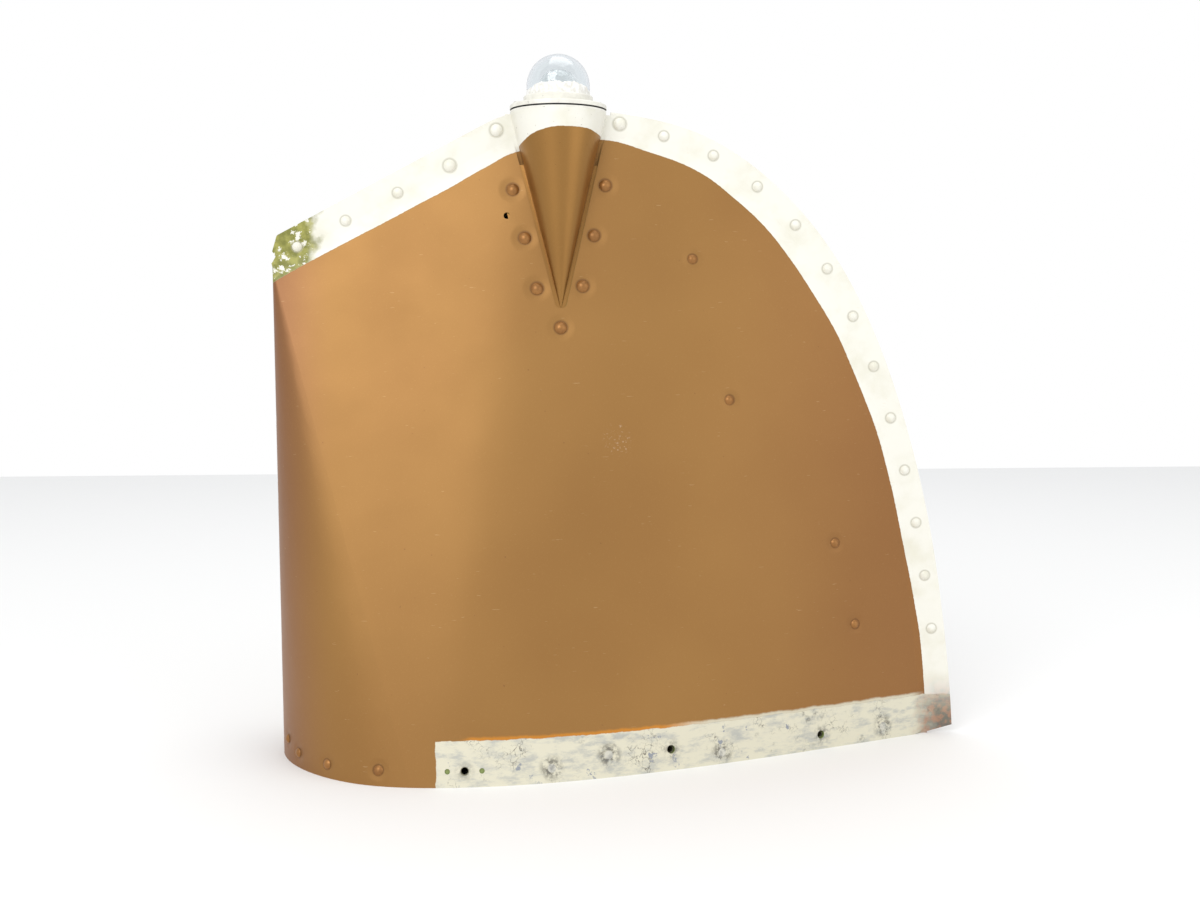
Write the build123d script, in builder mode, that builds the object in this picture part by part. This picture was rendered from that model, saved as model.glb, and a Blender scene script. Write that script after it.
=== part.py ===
from build123d import *
import os
from math import radians, tan

os.makedirs("parts", exist_ok=True)

# Aircraft tailcone stinger: a folded sheet fairing with a clear position light.
# It stands on its open forward edge, as it would on a bench.
# X runs from the folded nose to the riveted seam, Y across, Z up. Millimetres.
# The origin is under the middle of the fairing, on the surface it stands on.

# Sheet metal
SHEET = 0.8
LAP_GAP = 0.06
LINING_IN = SHEET + LAP_GAP
LINING_BACK = LINING_IN + SHEET

# Base edge: half of the teardrop that the skin stands on, from nose to tail
NOSE_X = -171.6
BASE_MARKS = [(-155.6, 40.5), (-129.6, 62.3), (-81.6, 71.5), (-31.0, 66.3)]
BASE_TAPER = [(17.4, 54.0), (62.0, 39.0), (106.0, 22.2), (159.4, 0.9)]
BASE_END_WAY = (1.0, -0.4)

# Rim: side view of the seam, a straight slope and then one long curve
SLOPE_START = (-171.0, 257.0)
SLOPE_END = (-70.0, 311.5)
CROWN_MARKS = [(-57.0, 317.0), (-7.0, 318.5), (37.0, 309.0), (74.0, 286.2), (106.0, 251.0)]
TAIL_MARKS = [(131.0, 205.0), (148.0, 157.0), (160.0, 109.0), (168.5, 57.0), (174.0, 0.0)]
RIM_END_WAY = (0.05, -1.0)

# Seam: both skins lie together along the rim, then part in a soft bend
SEAM_WIDTH = 15.0
BEND_RADIUS = 30.0
SEAM_SPARE = 60.0
SEAM_STEP = 0.005
NOSE_TOP_X = -172.6
SEAM_FRONT_DROP = 6.0

# Straight lines of the sheet: share of the rim, and share of the base that it runs down to
SHEET_LINES = [
    (0.0, 0.272), (0.03, 0.277), (0.06, 0.282), (0.12, 0.292), (0.18, 0.304), (0.24, 0.320),
    (0.30, 0.347), (0.37, 0.392), (0.45, 0.452), (0.53, 0.520), (0.61, 0.592),
    (0.69, 0.668), (0.77, 0.752), (0.84, 0.830), (0.92, 0.912), (0.995, 0.985),
]
CAVITY_END = (0.985, 0.973)
NOSE_SHARES = (0.07, 0.14, 0.21)

# Corner where the nose fold ends below the seam
FOLD_TOP_Z = 243.4
FOLD_EDGE_X = -173.6
RELIEF = (-171.7, 246.6)
FLANGE_FOOT = (-173.3, 249.2)
CORNER_RADIUS = 2.2

# Tail corner, lifted a little off the surface
LIFT_START = (160.5, 0.8)
UNDER = 1.0
LIFT_END = (175.0, 4.4)

# Light, pods and the notch that the pods look out of
LIGHT_X = -32.5
RING_Z = 317.5
POD_RADIUS = 23.8
POD_TIP_Z = 220.2
POD_SPLIT = 0.1
POD_WALL_IN = 0.65
POD_WALL_UP = 3.6
NOTCH_TOP = 26.0
NOTCH_SHOULDER = (21.6, 301.0)
NOTCH_FOOT = (2.4, 221.5)
NOTCH_ROUND = 2.2
NOTCH_FLARE = 18.0
POD_FLANGE_TOP = (32.0, 292.0)
POD_FLANGE_FOOT = (9.0, 203.0)
POD_FLANGE_ROUND = 8.0

# Rivets: shank, head width, head height; driven end is 1.5 by 0.5 shanks
SMALL_RIVET = (2.4, 4.7, 1.2)
LARGE_RIVET = (3.2, 6.0, 1.5)
FLUSH_WIDTH = 4.0
FLUSH_ANGLE = 100
FLUSH_SINK_WIDTH = 4.1
FLUSH_SINK_DEPTH = 0.7
DRIVEN_WIDTH = 1.5
DRIVEN_HEIGHT = 0.5
HOLE_GAP = 0.06
RIVET_SLACK = 0.2
SEAM_HEAD_LIFT = 0.05
POD_HEAD_LIFT = 0.16

SLOPE_RIVETS = [6.0, 33.0, 62.0]
SLOPE_RIVET_EDGE = 9.5
CURVE_RIVET_START = 208.5
CURVE_RIVET_PITCH = 28.5
CURVE_RIVET_COUNT = 12
CURVE_RIVET_EDGE = 6.8
LIGHT_RIVETS = [(91.0, 9.8), (120.0, 5.2), (185.0, 5.0)]

POD_RIVETS = [
    (-55.3, 279.6), (-49.7, 255.6), (-44.1, 230.8),
    (-9.6, 282.0), (-15.7, 257.0), (-21.7, 232.1), (-32.8, 211.8),
]
MID_PAIR = [(33.4, 245.8), (50.8, 176.2)]
AFT_PAIR = [(106.5, 103.2), (117.6, 61.3)]
DRAIN_SPOT = (-58.4, 266.7)
DRAIN_WIDTH = 3.3

# Base edge: nose rivets, flush rivets, screw holes and their nut plates
NOSE_RIVETS = [(-167.2, 10.8), (-160.9, 7.1), (-145.5, 6.4), (-120.6, 7.1)]
FLUSH_SPOTS = [(-40.1, 6.6), (-12.8, 10.5), (44.2, 5.6), (134.0, 7.0)]
FRONT_SCREW = (-80.7, 7.2)
REAR_SCREWS = [(18.0, 10.0), (97.9, 7.4)]
SCREW_HOLE = 4.1
EAR_SPAN = 8.0
EAR_HOLE = 2.5

# Inner sheet parts
FORMER_END_X = -97.0
FORMER_TOP = 16.0
FORMER_FOOT = 1.2
FORMER_OPENING = (58.0, 50.0)
DOUBLER_START_X = -95.0
DOUBLER_END_X = 146.0
DOUBLER_TOP = 18.5
DOUBLER_LIFT = 1.2
SPREADER_FLANGE = 12.0
SPREADER_SPARE = 9.0
# Tools for cutting: half width of a cut across the part, and the side of a block that cuts off all beyond it
REACH = 90.0
SPAN = 800.0
VIEW_NOSE_X = -200.0
SEAM_FRONT = (-140.0, 200.0)
AIM_START = 300.0

# Nut plates
NUT_EAR = (15.0, 5.6)
NUT_EAR_THICK = 0.8
NUT_BARREL = 6.0
NUT_HEIGHT = 4.6
NUT_BORE = 3.3
NUT_SEAT_GAP = 0.3
NUT_RIVET = 1.6
NUT_RIVET_SPAN = 5.2

# Light stack, from the pods' rim up
BRACKET_THICK = 1.0
BRACKET_INSET = 0.2
BRACKET_BORE = 13.0
TAB_WIDTH = 12.0
TAB_DROP = 7.0
TAB_FACE = 21.4
GASKET_THICK = 0.8
BASE_RADIUS = 24.0
BASE_THICK = 2.2
BASE_STEP_RADIUS = 17.3
BASE_STEP = 0.9
SOCKET_RADIUS = 9.2
SOCKET_BORE = 7.7
SOCKET_FLANGE = 11.4
SOCKET_FLANGE_THICK = 1.0
SOCKET_DEPTH = 21.0
SOCKET_FLOOR = 1.2
RETAINER_RADIUS = 17.2
RETAINER_TALL = 3.4
LENS_RADIUS = 15.6
LENS_WALL = 1.5
LENS_FOOT = 16.2
LENS_FOOT_THICK = 1.5
LENS_TALL = 24.1
FIT = 0.1
LIGHT_SCREW_X = 20.3
LIGHT_SCREW_WIDTH = 2.6
LIGHT_SCREW_HEAD = (5.6, 2.0)
LIGHT_SCREW_LENGTH = 8.0
CLINCH_NUT = (3.7, 2.6)
BULB_BASE_RADIUS = 7.5
BULB_BASE_TALL = 17.0
BULB_BASE_CHAMFER = 0.8
BULB_NECK = 6.6
BULB_RADIUS = 9.8
BULB_RISE = 9.2
CONTACT_RADIUS = 2.0
CONTACT_TALL = 1.0
TERMINAL_RADIUS = 1.0
TERMINAL_DROP = 4.0
INSULATOR_RADIUS = 6.4
INSULATOR_STEM = 4.2
INSULATOR_THICK = 0.8
BASE_EDGE_ROUND = 0.8
RETAINER_CHAMFER = 0.5
GASKET_INSET = 0.3


# Driving lines
with BuildLine() as base_half:
    Spline((NOSE_X, 0), *BASE_MARKS, *BASE_TAPER, tangents=[(0, 1), BASE_END_WAY], tangent_scalars=(1, 1))
SLOPE_WAY = (SLOPE_END[0] - SLOPE_START[0], SLOPE_END[1] - SLOPE_START[1])
with BuildLine() as rim_edge:
    Line(SLOPE_START, SLOPE_END)
    Spline(SLOPE_END, *CROWN_MARKS, *TAIL_MARKS, tangents=[SLOPE_WAY, RIM_END_WAY], tangent_scalars=(1, 1))
base_line = base_half.wires()[0]
rim_line = Plane.XZ.from_local_coords(rim_edge.wires()[0])


def rim_spot(share, inland):
    """Point on the seam's middle plane: a share along the rim, and so far in from its edge."""
    way = rim_line.tangent_at(share)
    return rim_line.position_at(share) + Vector(way.Z, 0, -way.X) * inland


def outward(normal):
    """The same normal, turned to face away from the middle plane."""
    return normal.normalized() if normal.Y > 0 else -normal.normalized()


def sheet_line(rim_share, base_share, inset, seam_half):
    """Both ends of one straight line of the sheet, moved in by inset: at the seam, on the base."""
    rim_way = rim_line.tangent_at(rim_share)
    seam = rim_spot(rim_share, SEAM_WIDTH)
    if rim_share == 0:
        seam -= rim_way * ((seam.X - NOSE_TOP_X) / rim_way.X)
    seam += Vector(0, SHEET, 0)
    base = base_line.position_at(base_share)
    run = seam - base
    base -= outward(run.cross(base_line.tangent_at(base_share))) * inset
    base -= run * (base.Z / run.Z)
    seam -= outward(run.cross(rim_way)) * inset
    seam -= run * ((seam.Y - seam_half) / run.Y)
    return seam, base


def side_form(inset, seam_half):
    """Both sides of the fairing, lofted through the sheet's straight lines; a cavity ends a little early."""
    lines = [*SHEET_LINES[:-1], CAVITY_END] if inset else SHEET_LINES
    with BuildPart() as sides:
        for rim_share, base_share in lines:
            seam, base = sheet_line(rim_share, base_share, inset, seam_half)
            run = Vector(seam.X - base.X, 0, seam.Z - base.Z)
            rise = run.length
            up = run.normalized()
            across = Plane(origin=(base.X, 0, base.Z), x_dir=(0, 1, 0), z_dir=(up.Z, 0, -up.X))
            with BuildSketch(across) as station:
                with BuildLine():
                    if seam_half:
                        Polyline(
                            (base.Y, 0), (seam_half, rise), (seam_half, rise + SEAM_SPARE),
                            (-seam_half, rise + SEAM_SPARE), (-seam_half, rise), (-base.Y, 0),
                            close=True,
                        )
                    else:
                        Polyline((base.Y, 0), (0, rise), (-base.Y, 0), close=True)
                make_face()
                if seam_half:
                    bends = station.vertices().group_by(Axis.Y)[1]
                    flank = rise * rise / max(base.Y, seam_half)
                    fillet(bends, radius=min(BEND_RADIUS, flank))
        loft()
    return sides.part


def nose_form(inset):
    """The nose: a cone from the base edge to the corner where the seam starts."""
    apex, back = sheet_line(*SHEET_LINES[0], inset, 0)
    marks = [sheet_line(0, share, inset, 0)[1] for share in NOSE_SHARES]
    back_way = base_line.tangent_at(SHEET_LINES[0][1])
    front = Vector(NOSE_X + inset, 0, 0)
    with BuildPart() as nose:
        with BuildSketch() as section:
            with BuildLine():
                edge = [(mark.X, mark.Y) for mark in (front, *marks, back)]
                Spline(*edge, tangents=[(0, 1), back_way], tangent_scalars=(1, 1))
                Polyline((back.X, back.Y), (back.X, 0), (front.X, 0))
            make_face()
        loft(sections=[section.sketch.faces()[0], Vertex(apex.X, 0, apex.Z)], ruled=True)
        mirror(about=Plane.XZ)
    return nose.part


def fairing_form(inset, seam_half=0):
    """Solid that the skin wraps, moved in by inset all round."""
    sides = side_form(inset, seam_half)
    nose = nose_form(inset)
    with BuildPart() as whole:
        add(sides)
        add(nose)
    return whole.part


skin_form = fairing_form(0, SHEET)
skin_inside = fairing_form(SHEET)
lining_outside = fairing_form(LINING_IN)
lining_inside = fairing_form(LINING_BACK)

# Side view of everything that the sheet covers, and its part under the lifted tail corner
with BuildSketch(Plane.XZ) as side_view:
    with BuildLine():
        add(rim_edge.line)
        Line(TAIL_MARKS[-1], (TAIL_MARKS[-1][0], -UNDER))
        Polyline(
            (TAIL_MARKS[-1][0], -UNDER), (VIEW_NOSE_X, -UNDER), (VIEW_NOSE_X, FOLD_TOP_Z),
            (FOLD_EDGE_X, FOLD_TOP_Z), RELIEF, FLANGE_FOOT, SLOPE_START,
        )
    make_face()
    with BuildLine():
        Polyline(LIFT_START, LIFT_END, (LIFT_END[0], -2 * UNDER), (LIFT_START[0], -2 * UNDER), LIFT_START)
    make_face(mode=Mode.SUBTRACT)
    corner = side_view.vertices().sort_by_distance(SLOPE_START)[0]
    fillet(corner, radius=CORNER_RADIUS)

with BuildSketch(Plane.XZ) as seam_view:
    with BuildLine():
        add(rim_edge.line)
        Polyline(
            TAIL_MARKS[-1], (SEAM_FRONT[0], 0), SEAM_FRONT, (NOSE_TOP_X, FOLD_TOP_Z - SEAM_FRONT_DROP),
            (FOLD_EDGE_X, FOLD_TOP_Z), RELIEF, FLANGE_FOOT, SLOPE_START,
        )
    make_face()

# Notch for the pods, seen from the side
with BuildSketch(Plane.XZ) as notch_view:
    with BuildLine():
        Polyline(
            (LIGHT_X - NOTCH_TOP, RING_Z + 20), (LIGHT_X - NOTCH_TOP, RING_Z - 1),
            (LIGHT_X - NOTCH_SHOULDER[0], NOTCH_SHOULDER[1]),
            (LIGHT_X - NOTCH_FOOT[0], NOTCH_FOOT[1]), (LIGHT_X + NOTCH_FOOT[0], NOTCH_FOOT[1]),
            (LIGHT_X + NOTCH_SHOULDER[0], NOTCH_SHOULDER[1]),
            (LIGHT_X + NOTCH_TOP, RING_Z - 1), (LIGHT_X + NOTCH_TOP, RING_Z + 20),
            close=True,
        )
    make_face()
    feet = notch_view.vertices().group_by(Axis.Y)[0]
    fillet(feet, radius=NOTCH_ROUND)
    shoulders = [v for v in notch_view.vertices() if abs(v.Y - NOTCH_SHOULDER[1]) < 0.01]
    fillet(shoulders, radius=NOTCH_FLARE)


def skin_seat(spot, side):
    """Plane on the skin's outside at a side-view spot, facing out; side is -1 near, 1 far."""
    aim = Axis((spot[0], AIM_START * side, spot[1]), (0, -side, 0))
    hits = skin_form.find_intersection_points(aim)
    point, facing = max(hits, key=lambda hit: hit[0].Y * side)
    facing = facing if facing.Y * side > 0 else -facing
    return Plane(origin=point, x_dir=Vector(0, 0, 1).cross(facing), z_dir=facing)


def both_sides(spots):
    """Seats for the same spots on the near and the far side."""
    return [skin_seat(spot, side) for side in (-1, 1) for spot in spots]


def seam_seat(along, inland):
    """Plane on the near face of the seam, facing the viewer."""
    spot = rim_spot(along / rim_line.length, inland)
    return Plane(origin=(spot.X, -SHEET, spot.Z), x_dir=(1, 0, 0), z_dir=(0, -1, 0))


curve_marks = [CURVE_RIVET_START + CURVE_RIVET_PITCH * step for step in range(CURVE_RIVET_COUNT)]
seam_seats = [seam_seat(mark, SLOPE_RIVET_EDGE) for mark in SLOPE_RIVETS]
seam_seats += [seam_seat(mark, CURVE_RIVET_EDGE) for mark in curve_marks]
light_seats = [seam_seat(*mark) for mark in LIGHT_RIVETS]
pod_seats = both_sides(POD_RIVETS)
field_seats = both_sides(MID_PAIR + AFT_PAIR)
nose_seats = both_sides(NOSE_RIVETS)
flush_seats = both_sides(FLUSH_SPOTS)
front_screw_seats = both_sides([FRONT_SCREW])
rear_screw_seats = both_sides(REAR_SCREWS)
screw_seats = front_screw_seats + rear_screw_seats


def pins(seats, width, depth):
    """Round pins at the seats, to be cut away as holes, standing a little above the skin."""
    with BuildPart() as group:
        with Locations(*[seat.offset(1) for seat in seats]):
            Cylinder(width / 2, depth + 1, align=(Align.CENTER, Align.CENTER, Align.MAX))
    return group.part


def shifted(seats, along):
    """The same seats, moved along the base edge."""
    return [Plane(origin=seat.from_local_coords(Vector(along, 0, 0)), z_dir=seat.z_dir) for seat in seats]


def on_side(seats, side):
    """Those of the seats that are on one side."""
    return [seat for seat in seats if seat.origin.Y * side > 0]


def cut_past(point, way):
    """Cut away all of the part in hand beyond a plane through the point, facing that way."""
    with Locations(Plane(origin=point, z_dir=way)):
        Box(SPAN, SPAN, SPAN, align=(Align.CENTER, Align.CENTER, Align.MIN), mode=Mode.SUBTRACT)


def finish(piece, name):
    """Name a finished piece and write it out."""
    piece.label = name
    export_step(piece, f"parts/{name}.step")


small_hole = SMALL_RIVET[0] + HOLE_GAP
large_hole = LARGE_RIVET[0] + HOLE_GAP
hole_depth = 2 * LINING_BACK
seam_pins = pins(seam_seats, small_hole, hole_depth)
light_pins = pins(light_seats, large_hole, hole_depth)
pod_pins = pins(pod_seats, large_hole, hole_depth)
field_pins = pins(field_seats, small_hole, hole_depth)
nose_pins = pins(nose_seats, small_hole, hole_depth)
screw_pins = pins(screw_seats, SCREW_HOLE, hole_depth)
ear_seats = shifted(front_screw_seats, -EAR_SPAN) + shifted(front_screw_seats, EAR_SPAN)
ear_pins = pins(ear_seats, EAR_HOLE, hole_depth)
drain_pin = pins([skin_seat(DRAIN_SPOT, -1)], DRAIN_WIDTH, hole_depth)
# The cone of the countersunk hole goes on above the sheet, so that it cuts the curved surface cleanly.
mouth = FLUSH_SINK_WIDTH - small_hole / 2
with BuildPart() as flush_pin:
    with BuildSketch(Plane.XZ):
        with BuildLine():
            Polyline(
                (0, FLUSH_SINK_DEPTH), (mouth, FLUSH_SINK_DEPTH), (small_hole / 2, -FLUSH_SINK_DEPTH),
                (small_hole / 2, -hole_depth), (0, -hole_depth), close=True,
            )
        make_face()
    revolve(axis=Axis.Z)
with BuildPart() as flush_group:
    with Locations(*flush_seats):
        add(flush_pin.part)
flush_pins = flush_group.part
all_pins = (
    seam_pins, light_pins, pod_pins, field_pins, nose_pins, screw_pins, ear_pins, drain_pin, flush_pins,
)

# Folded skin: one sheet wrapped round the nose, its two edges laid together along the seam
with BuildPart() as folded_skin:
    add(skin_form)
    extrude(seam_view.sketch, amount=SHEET - SEAM_STEP, both=True)
    extrude(side_view.sketch, amount=REACH, both=True, mode=Mode.INTERSECT)
    add(skin_inside, mode=Mode.SUBTRACT)
    extrude(notch_view.sketch, amount=REACH, both=True, mode=Mode.SUBTRACT)
    for holes in all_pins:
        add(holes, mode=Mode.SUBTRACT, clean=False)
finish(folded_skin.part, "folded_skin")

# Sheet that lies against the skin's inside, which the inner parts are cut from
with BuildPart() as lining:
    add(lining_outside)
    add(lining_inside, mode=Mode.SUBTRACT)

# Pods: half cones under the light, flanged to lie behind the notch's edges
with BuildSketch(Plane.XZ) as flange_view:
    with BuildLine():
        Polyline(
            (LIGHT_X - POD_FLANGE_TOP[0], POD_FLANGE_TOP[1]),
            (LIGHT_X - POD_FLANGE_FOOT[0], POD_FLANGE_FOOT[1]),
            (LIGHT_X + POD_FLANGE_FOOT[0], POD_FLANGE_FOOT[1]),
            (LIGHT_X + POD_FLANGE_TOP[0], POD_FLANGE_TOP[1]),
            close=True,
        )
    make_face()
    fillet(flange_view.vertices(), radius=POD_FLANGE_ROUND)


def half_cone(radius, tip):
    """Solid cone from a circle at the light's ring down to a tip on the skin."""
    with BuildPart() as cone:
        with BuildSketch(Plane.XY.offset(RING_Z)) as ring:
            with Locations((LIGHT_X, 0)):
                Circle(radius)
        loft(sections=[ring.sketch.faces()[0], Vertex(tip.X, tip.Y, tip.Z)], ruled=True)
    return cone.part


def pod(side):
    """One pod: half a cone with its flanges, on the near (-1) or the far (1) side."""
    tip = skin_seat((LIGHT_X, POD_TIP_Z), side).offset(-LINING_IN - SHEET / 2).origin
    inner_tip = tip + Vector(0, -side * POD_WALL_IN, POD_WALL_UP)
    outer_cone = half_cone(POD_RADIUS, tip)
    hollow = half_cone(POD_RADIUS - SHEET, inner_tip)
    with BuildPart() as shell:
        extrude(flange_view.sketch, amount=REACH, both=True)
        add(lining_outside, mode=Mode.INTERSECT)
        add(outer_cone)
        add(hollow, mode=Mode.SUBTRACT)
        add(lining_inside, mode=Mode.SUBTRACT)
        with BuildSketch(Plane.XZ.offset(-side * POD_SPLIT / 2)):
            with Locations((LIGHT_X, RING_Z / 2)):
                Rectangle(REACH, RING_Z)
        extrude(amount=-side * REACH, mode=Mode.INTERSECT)
        add(pod_pins, mode=Mode.SUBTRACT, clean=False)
    return shell.part


near_pod = pod(-1)
finish(near_pod, "near_pod")
far_pod = pod(1)
finish(far_pod, "far_pod")

# Nose former: a flanged rib that keeps the nose round just above the base edge
with BuildPart() as former_web:
    add(lining_outside)
    cut_past((0, 0, FORMER_TOP), (0, 0, 1))
    cut_past((FORMER_END_X, 0, 0), (1, 0, 0))
    cut_past((0, 0, FORMER_TOP - SHEET), (0, 0, -1))
    with BuildSketch(Plane.XY):
        with Locations((FORMER_END_X, 0)):
            Ellipse(*FORMER_OPENING)
    extrude(amount=2 * FORMER_TOP, mode=Mode.SUBTRACT)

with BuildPart() as nose_former:
    add(lining.part)
    cut_past((0, 0, FORMER_TOP), (0, 0, 1))
    cut_past((FORMER_END_X, 0, 0), (1, 0, 0))
    cut_past((0, 0, FORMER_FOOT), (0, 0, -1))
    add(former_web.part)
    add(nose_pins, mode=Mode.SUBTRACT, clean=False)
finish(nose_former.part, "nose_former")


# Base doublers: strips behind the lapped edge, which carry the nut plates
def base_doubler(side):
    """Strip behind the base edge on one side, with its rivet, screw and nut plate holes."""
    own_screws = on_side(screw_seats, side)
    nut_rivet_seats = shifted(own_screws, -NUT_RIVET_SPAN) + shifted(own_screws, NUT_RIVET_SPAN)
    nut_rivet_pins = pins(nut_rivet_seats, NUT_RIVET + HOLE_GAP, hole_depth)
    with BuildPart() as strip:
        add(lining.part)
        cut_past((0, 0, DOUBLER_TOP), (0, 0, 1))
        cut_past((DOUBLER_START_X, 0, 0), (-1, 0, 0))
        cut_past((DOUBLER_END_X, 0, 0), (1, 0, 0))
        cut_past((0, 0, 0), (0, -side, 0))
        cut_past((0, 0, DOUBLER_LIFT), (0, 0, -1))
        for holes in (flush_pins, screw_pins, nut_rivet_pins):
            add(holes, mode=Mode.SUBTRACT, clean=False)
    return strip.part


finish(base_doubler(-1), "near_doubler")
finish(base_doubler(1), "far_doubler")

# Nut plate, drawn on the plane of the skin's outside, its ears against the doubler
nut_face = LINING_BACK + NUT_SEAT_GAP
with BuildPart() as nut_plate:
    with BuildSketch(Plane.XY.offset(-nut_face)):
        SlotOverall(*NUT_EAR)
    extrude(amount=-NUT_EAR_THICK)
    with BuildSketch(Plane.XY.offset(-nut_face - NUT_EAR_THICK)):
        Circle(NUT_BARREL / 2)
    extrude(amount=-NUT_HEIGHT)
    with Locations((0, 0, -nut_face)):
        Hole(NUT_BORE / 2, 2 * NUT_HEIGHT)
    with Locations((-NUT_RIVET_SPAN, 0, -nut_face), (NUT_RIVET_SPAN, 0, -nut_face)):
        Hole((NUT_RIVET + HOLE_GAP) / 2, 2 * NUT_HEIGHT)

with BuildPart() as nut_plates:
    with Locations(*screw_seats):
        add(nut_plate.part)
finish(nut_plates.part, "nut_plates")

with BuildPart() as nut_rivet_pair:
    with BuildSketch(Plane.XY.offset(-LINING_IN - HOLE_GAP)):
        with Locations((-NUT_RIVET_SPAN, 0), (NUT_RIVET_SPAN, 0)):
            Circle(NUT_RIVET / 2)
    extrude(amount=-(nut_face + NUT_EAR_THICK - LINING_IN))
    with BuildSketch(Plane.XY.offset(-nut_face - NUT_EAR_THICK)):
        with Locations((-NUT_RIVET_SPAN, 0), (NUT_RIVET_SPAN, 0)):
            Circle(NUT_RIVET * DRIVEN_WIDTH / 2)
    extrude(amount=-NUT_RIVET * DRIVEN_HEIGHT)

with BuildPart() as nut_rivets:
    with Locations(*screw_seats):
        add(nut_rivet_pair.part)
finish(nut_rivets.part, "nut_rivets")


# Spreaders: bent plates that hold the two sides apart at the rivet pairs
def spreader(pair):
    """Plate across the inside along one rivet pair, flanged to lie on both skins."""
    low, high = Vector(pair[1][0], 0, pair[1][1]), Vector(pair[0][0], 0, pair[0][1])
    run = high - low
    middle = Plane(origin=(low + high) / 2, x_dir=run, z_dir=(0, -1, 0))
    length = run.length + 2 * SPREADER_SPARE
    with BuildPart() as web:
        with BuildSketch(middle):
            with Locations((0, (SPREADER_FLANGE - SHEET) / 2)):
                Rectangle(length, SHEET)
        extrude(amount=REACH, both=True)
        add(lining_outside, mode=Mode.INTERSECT)
    with BuildPart() as plate:
        with BuildSketch(middle):
            Rectangle(length, SPREADER_FLANGE)
        extrude(amount=REACH, both=True)
        add(lining.part, mode=Mode.INTERSECT)
        add(web.part)
        add(field_pins, mode=Mode.SUBTRACT, clean=False)
    return plate.part


finish(spreader(MID_PAIR), "mid_spreader")
finish(spreader(AFT_PAIR), "aft_spreader")


# Rivets, drawn with the head's seat on XY and the shank pointing down
def domed_rivet(kind, grip):
    """Rivet with a low domed head and a flat driven end, for so much sheet."""
    shank, head, tall = kind
    driven = shank * DRIVEN_WIDTH / 2
    with BuildPart() as rivet:
        with BuildSketch(Plane.XZ):
            with BuildLine():
                RadiusArc((head / 2, 0), (0, tall), -(head * head / 4 + tall * tall) / (2 * tall))
                Polyline(
                    (0, tall), (0, -grip - shank * DRIVEN_HEIGHT), (driven, -grip - shank * DRIVEN_HEIGHT),
                    (driven, -grip), (shank / 2, -grip), (shank / 2, 0), (head / 2, 0),
                )
            make_face()
        revolve(axis=Axis.Z)
    return rivet.part


def flush_rivet(grip):
    """Countersunk rivet, level with the skin, with a flat driven end."""
    shank = SMALL_RIVET[0]
    driven = shank * DRIVEN_WIDTH / 2
    sink = (FLUSH_WIDTH - shank) / 2 / tan(radians(FLUSH_ANGLE / 2))
    with BuildPart() as rivet:
        with BuildSketch(Plane.XZ):
            with BuildLine():
                Polyline(
                    (0, 0), (FLUSH_WIDTH / 2, 0), (shank / 2, -sink), (shank / 2, -grip), (driven, -grip),
                    (driven, -grip - shank * DRIVEN_HEIGHT), (0, -grip - shank * DRIVEN_HEIGHT), close=True,
                )
            make_face()
        revolve(axis=Axis.Z)
    return rivet.part


def rivet_row(rivet, seats, lift, name):
    """The same rivet at each seat, as one named group, its heads lifted off the curved skin."""
    with BuildPart() as row:
        with Locations(*[seat.offset(lift) for seat in seats]):
            add(rivet)
    finish(row.part, name)


lap_grip = LINING_BACK + RIVET_SLACK
rivet_row(domed_rivet(SMALL_RIVET, 2 * SHEET + RIVET_SLACK), seam_seats, SEAM_HEAD_LIFT, "seam_rivets")
rivet_row(domed_rivet(LARGE_RIVET, 2 * SHEET + RIVET_SLACK), light_seats, SEAM_HEAD_LIFT, "large_seam_rivets")
rivet_row(domed_rivet(LARGE_RIVET, lap_grip), pod_seats, POD_HEAD_LIFT, "pod_rivets")
rivet_row(domed_rivet(SMALL_RIVET, lap_grip), field_seats, SEAM_HEAD_LIFT, "spreader_rivets")
rivet_row(domed_rivet(SMALL_RIVET, lap_grip), nose_seats, SEAM_HEAD_LIFT, "nose_rivets")
rivet_row(flush_rivet(lap_grip), flush_seats, 0, "flush_rivets")

# Position light, turned about its own upright axis
LIGHT_PLANE = Plane(origin=(LIGHT_X, 0, 0), x_dir=(1, 0, 0), z_dir=(0, -1, 0))
LIGHT_AXIS = Axis((LIGHT_X, 0, 0), (0, 0, 1))
bracket_top = RING_Z + BRACKET_THICK
gasket_top = bracket_top + GASKET_THICK
base_top = gasket_top + BASE_THICK
step_top = base_top + BASE_STEP
lens_foot_top = step_top + LENS_FOOT_THICK
screw_spots = [(LIGHT_X - LIGHT_SCREW_X, 0), (LIGHT_X + LIGHT_SCREW_X, 0)]


def screw_holes(top, depth, width):
    """Both of the light's screw holes, from a level down."""
    with Locations(*[(x, y, top) for x, y in screw_spots]):
        Hole(width / 2, depth)


with BuildPart() as light_bracket:
    with BuildSketch(Plane.XY.offset(RING_Z)):
        with Locations((LIGHT_X, 0)):
            Circle(BASE_RADIUS - BRACKET_INSET)
            Circle(BRACKET_BORE, mode=Mode.SUBTRACT)
    extrude(amount=BRACKET_THICK)
    with BuildSketch(Plane.XY.offset(RING_Z)):
        with Locations((LIGHT_X, TAB_FACE - BRACKET_THICK / 2), (LIGHT_X, BRACKET_THICK / 2 - TAB_FACE)):
            Rectangle(TAB_WIDTH, BRACKET_THICK)
    extrude(amount=-TAB_DROP)
    screw_holes(bracket_top, 2 * BRACKET_THICK, LIGHT_SCREW_WIDTH + 2 * FIT)
finish(light_bracket.part, "light_bracket")

with BuildPart() as clinch_nuts:
    with BuildSketch(Plane.XY.offset(RING_Z)):
        with Locations(*screw_spots):
            Circle(CLINCH_NUT[0] / 2)
            Circle(LIGHT_SCREW_WIDTH / 2 + HOLE_GAP, mode=Mode.SUBTRACT)
    extrude(amount=-CLINCH_NUT[1])
finish(clinch_nuts.part, "clinch_nuts")

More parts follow.
